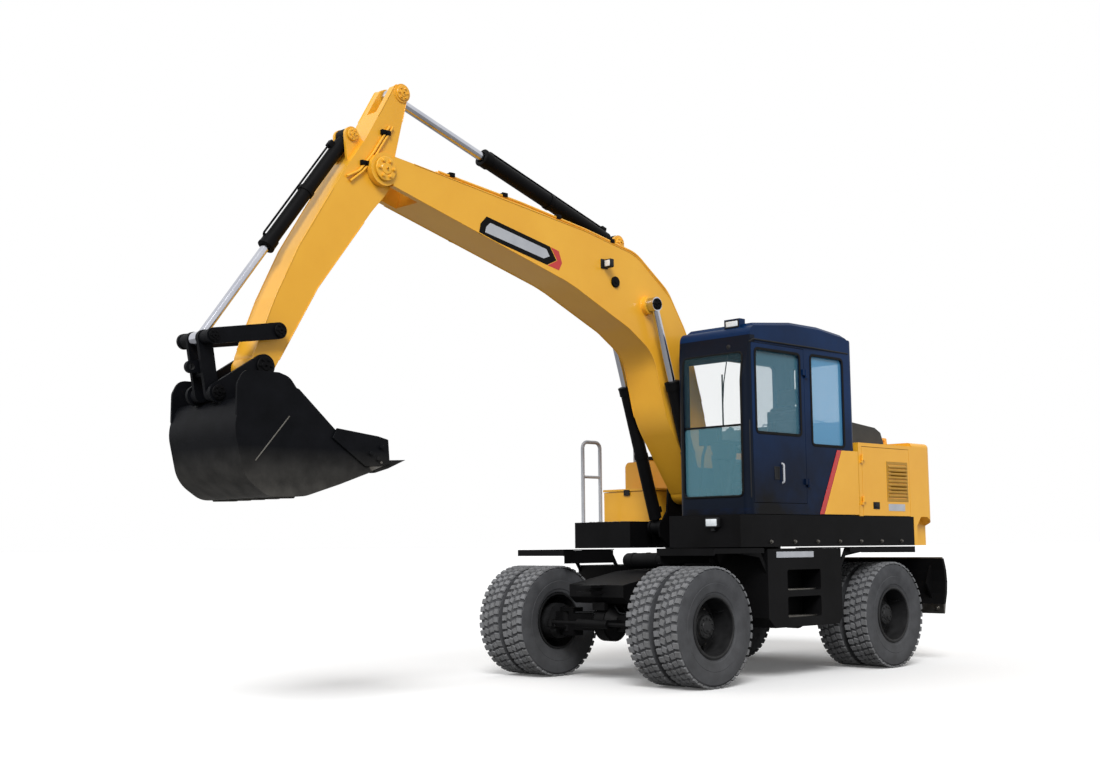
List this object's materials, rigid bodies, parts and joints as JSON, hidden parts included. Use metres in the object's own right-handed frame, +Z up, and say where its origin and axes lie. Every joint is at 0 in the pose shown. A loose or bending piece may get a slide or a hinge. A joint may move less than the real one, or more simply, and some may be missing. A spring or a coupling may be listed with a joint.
{
  "type": "wheeled excavator",
  "caption": "Wheeled excavator with twin tyres, rear dozer blade, slewing cab and body, bent boom, arm and bucket on hydraulic cylinders.",
  "frame": {"origin": "bottom centre of the whole machine's bounding box, on the ground", "axes": "+X forward along the boom at rest, +Y to the machine's left, +Z up"},
  "size_m": [8.345, 2.49, 5.008],
  "materials": {
    "machine_yellow": "gloss enamel",
    "frame_black": "satin enamel",
    "cab_black": "gloss enamel",
    "tyre_rubber": "weathered rubber",
    "rim_black": "satin enamel",
    "window_glass": "clear tinted",
    "rod_chrome": "polished",
    "rail_grey": "satin enamel",
    "trim_black": "grained",
    "edge_steel": "worn bare steel",
    "engine_grey": "as cast, painted"
  },
  "bodies": {
    "chassis": {"chassis_frame": "frame_black", "turntable_lower": "frame_black", "front_axle": "frame_black", "rear_axle": "frame_black", "driveline": "frame_black", "fenders": "frame_black", "step_boxes": "frame_black"},
    "knuckle_left": {"knuckle_left": "frame_black"},
    "knuckle_right": {"knuckle_right": "frame_black"},
    "front_left_wheel": {"tyres_front_left": "tyre_rubber", "wheel_front_left": "rim_black"},
    "front_right_wheel": {"tyres_front_right": "tyre_rubber", "wheel_front_right": "rim_black"},
    "rear_left_wheel": {"tyres_rear_left": "tyre_rubber", "wheel_rear_left": "rim_black"},
    "rear_right_wheel": {"tyres_rear_right": "tyre_rubber", "wheel_rear_right": "rim_black"},
    "steering_rod": {"steering_rod": "rod_chrome"},
    "blade": {"dozer_blade": "frame_black", "blade_edge": "edge_steel"},
    "blade_barrels": {"blade_cylinder_barrels": "frame_black"},
    "blade_rods": {"blade_cylinder_rods": "rod_chrome"},
    "upper": {"turntable_upper": "frame_black", "upper_frame": "frame_black", "counterweight": "machine_yellow", "engine_bay": "machine_yellow", "engine": "engine_grey", "fuel_tank": "machine_yellow", "centre_cover": "machine_yellow", "toolbox": "machine_yellow", "handrail": "rail_grey", "mirror_post": "rail_grey", "operator_seat": "trim_black", "steering_column": "trim_black", "cab_floor": "cab_black", "cab_roof": "cab_black", "cab_front": "cab_black", "cab_rear": "cab_black", "cab_left": "cab_black", "cab_right": "cab_black", "cab_glass": "window_glass"},
    "cab_door": {"cab_door": "cab_black", "door_glass": "window_glass"},
    "bay_door_left": {"bay_door_left": "machine_yellow"},
    "bay_door_right": {"bay_door_right": "machine_yellow"},
    "hood": {"hood": "frame_black"},
    "toolbox_lid": {"toolbox_lid": "machine_yellow"},
    "boom": {"boom": "machine_yellow"},
    "boom_barrels": {"boom_cylinder_barrels": "frame_black"},
    "boom_rods": {"boom_cylinder_rods": "rod_chrome"},
    "arm": {"arm": "machine_yellow"},
    "arm_barrel": {"arm_cylinder_barrel": "frame_black"},
    "arm_rod": {"arm_cylinder_rod": "rod_chrome"},
    "bucket_barrel": {"bucket_cylinder_barrel": "frame_black"},
    "bucket_rod": {"bucket_cylinder_rod": "rod_chrome"},
    "rocker": {"rocker": "frame_black"},
    "bucket_link": {"bucket_link": "frame_black"},
    "bucket": {"bucket": "frame_black"}
  },
  "joints": [
    {"name": "slew", "type": "hinge", "parent": "chassis", "child": "upper", "pos_m": [-1.8825, 0, 1.15], "axis": [0, 0, 1], "continuous": true},
    {"name": "steer_left", "type": "hinge", "parent": "chassis", "child": "knuckle_left", "pos_m": [-0.2325, 0.57, 0.52], "axis": [0, 0, 1], "range_deg": [-27, 27]},
    {"name": "steer_right", "type": "hinge", "parent": "chassis", "child": "knuckle_right", "pos_m": [-0.2325, -0.57, 0.52], "axis": [0, 0, 1], "range_deg": [-28, 28]},
    {"name": "steering_rod_slide", "type": "slide", "parent": "chassis", "child": "steering_rod", "axis": [0, 1, 0], "range_m": [-0.11238, 0.11238]},
    {"name": "front_left_roll", "type": "hinge", "parent": "knuckle_left", "child": "front_left_wheel", "pos_m": [-0.2325, 0.948, 0.52], "axis": [0, 1, 0], "continuous": true},
    {"name": "front_right_roll", "type": "hinge", "parent": "knuckle_right", "child": "front_right_wheel", "pos_m": [-0.2325, -0.948, 0.52], "axis": [0, 1, 0], "continuous": true},
    {"name": "rear_left_roll", "type": "hinge", "parent": "chassis", "child": "rear_left_wheel", "pos_m": [-3.0325, 0.948, 0.52], "axis": [0, 1, 0], "continuous": true},
    {"name": "rear_right_roll", "type": "hinge", "parent": "chassis", "child": "rear_right_wheel", "pos_m": [-3.0325, -0.948, 0.52], "axis": [0, 1, 0], "continuous": true},
    {"name": "blade_lift", "type": "hinge", "parent": "chassis", "child": "blade", "pos_m": [-3.2625, 0, 0.76], "axis": [0, -1, 0], "range_deg": [-3, 42]},
    {"name": "blade_barrel_swing", "type": "hinge", "parent": "chassis", "child": "blade_barrels", "pos_m": [-3.4425, 0, 0.93], "axis": [0, -1, 0], "range_deg": [-4.19, 45.6]},
    {"name": "blade_rod_slide", "type": "slide", "parent": "blade_barrels", "child": "blade_rods", "axis": [-0.9607, 0, -0.2775], "range_m": [-0.01655, 0.17971]},
    {"name": "cab_door_swing", "type": "hinge", "parent": "upper", "child": "cab_door", "pos_m": [-1.6545, 1.229, 2.3], "axis": [0, 0, 1], "range_deg": [0, 150]},
    {"name": "bay_door_left_swing", "type": "hinge", "parent": "upper", "child": "bay_door_left", "pos_m": [-2.5605, 1.229, 1.8], "axis": [0, 0, -1], "range_deg": [0, 90]},
    {"name": "bay_door_right_swing", "type": "hinge", "parent": "upper", "child": "bay_door_right", "pos_m": [-2.5605, -1.229, 1.8], "axis": [0, 0, 1], "range_deg": [0, 90]},
    {"name": "hood_lift", "type": "hinge", "parent": "upper", "child": "hood", "pos_m": [-2.5965, 0, 2.226], "axis": [0, 1, 0], "range_deg": [0, 55]},
    {"name": "toolbox_lid_lift", "type": "hinge", "parent": "upper", "child": "toolbox_lid", "pos_m": [-1.7295, 0, 1.786], "axis": [0, -1, 0], "range_deg": [0, 80]},
    {"name": "boom_lift", "type": "hinge", "parent": "upper", "child": "boom", "pos_m": [-1.4625, 0, 1.76], "axis": [0, -1, 0], "range_deg": [-70, 25]},
    {"name": "boom_barrel_swing", "type": "hinge", "parent": "upper", "child": "boom_barrels", "pos_m": [-1.2425, 0, 1.4], "axis": [0, -1, 0], "range_deg": [-66.39, 24.36]},
    {"name": "boom_rod_slide", "type": "slide", "parent": "boom_barrels", "child": "boom_rods", "axis": [0.3066, 0, 0.9518], "range_m": [-0.45641, 0.16557]},
    {"name": "arm_swing", "type": "hinge", "parent": "boom", "child": "arm", "pos_m": [2.5375, 0, 4.24], "axis": [0, 1, 0], "range_deg": [-48, 55]},
    {"name": "arm_barrel_swing", "type": "hinge", "parent": "boom", "child": "arm_barrel", "pos_m": [-0.3225, 0, 4.07], "axis": [0, 1, 0], "range_deg": [-1.72, 1.83]},
    {"name": "arm_rod_slide", "type": "slide", "parent": "arm_barrel", "child": "arm_rod", "axis": [0.9508, 0, 0.3097], "range_m": [-0.54008, 0.61826]},
    {"name": "bucket_curl", "type": "hinge", "parent": "arm", "child": "bucket", "pos_m": [3.6175, 0, 2.56], "axis": [0, 1, 0], "range_deg": [-112, 25]},
    {"name": "bucket_barrel_swing", "type": "hinge", "parent": "arm", "child": "bucket_barrel", "pos_m": [2.7775, 0, 4.5], "axis": [0, 1, 0], "range_deg": [-3.24, 1.5]},
    {"name": "bucket_rod_slide", "type": "slide", "parent": "bucket_barrel", "child": "bucket_rod", "axis": [0.5912, 0, -0.8066], "range_m": [-0.78786, 0.17897]},
    {"name": "rocker_swing", "type": "hinge", "parent": "arm", "child": "rocker", "pos_m": [3.5175, 0, 2.83], "axis": [0, 1, 0], "range_deg": [-95.08, 22]},
    {"name": "link_swing", "type": "hinge", "parent": "rocker", "child": "bucket_link", "pos_m": [4.0675, 0, 2.74], "axis": [0, 1, 0], "range_deg": [-16.25, 69.32]}
  ],
  "couplings": [
    {"joint": "steer_right", "follows": "steer_left", "ratio": 1},
    {"joint": "steering_rod_slide", "follows": "steer_left", "m_per_rad": 0.23},
    {"joint": "blade_barrel_swing", "follows": "blade_lift", "ratio": 1.062},
    {"joint": "blade_rod_slide", "follows": "blade_lift", "m_per_rad": 0.2397},
    {"joint": "boom_barrel_swing", "follows": "boom_lift", "ratio": 0.9342},
    {"joint": "boom_rod_slide", "follows": "boom_lift", "m_per_rad": 0.3703},
    {"joint": "arm_barrel_swing", "follows": "arm_swing", "ratio": 0.0151},
    {"joint": "arm_rod_slide", "follows": "arm_swing", "m_per_rad": 0.6399},
    {"joint": "bucket_barrel_swing", "follows": "bucket_curl", "ratio": 0.02},
    {"joint": "bucket_rod_slide", "follows": "bucket_curl", "m_per_rad": 0.401},
    {"joint": "rocker_swing", "follows": "bucket_curl", "ratio": 0.84},
    {"joint": "link_swing", "follows": "bucket_curl", "ratio": -0.61}
  ]
}
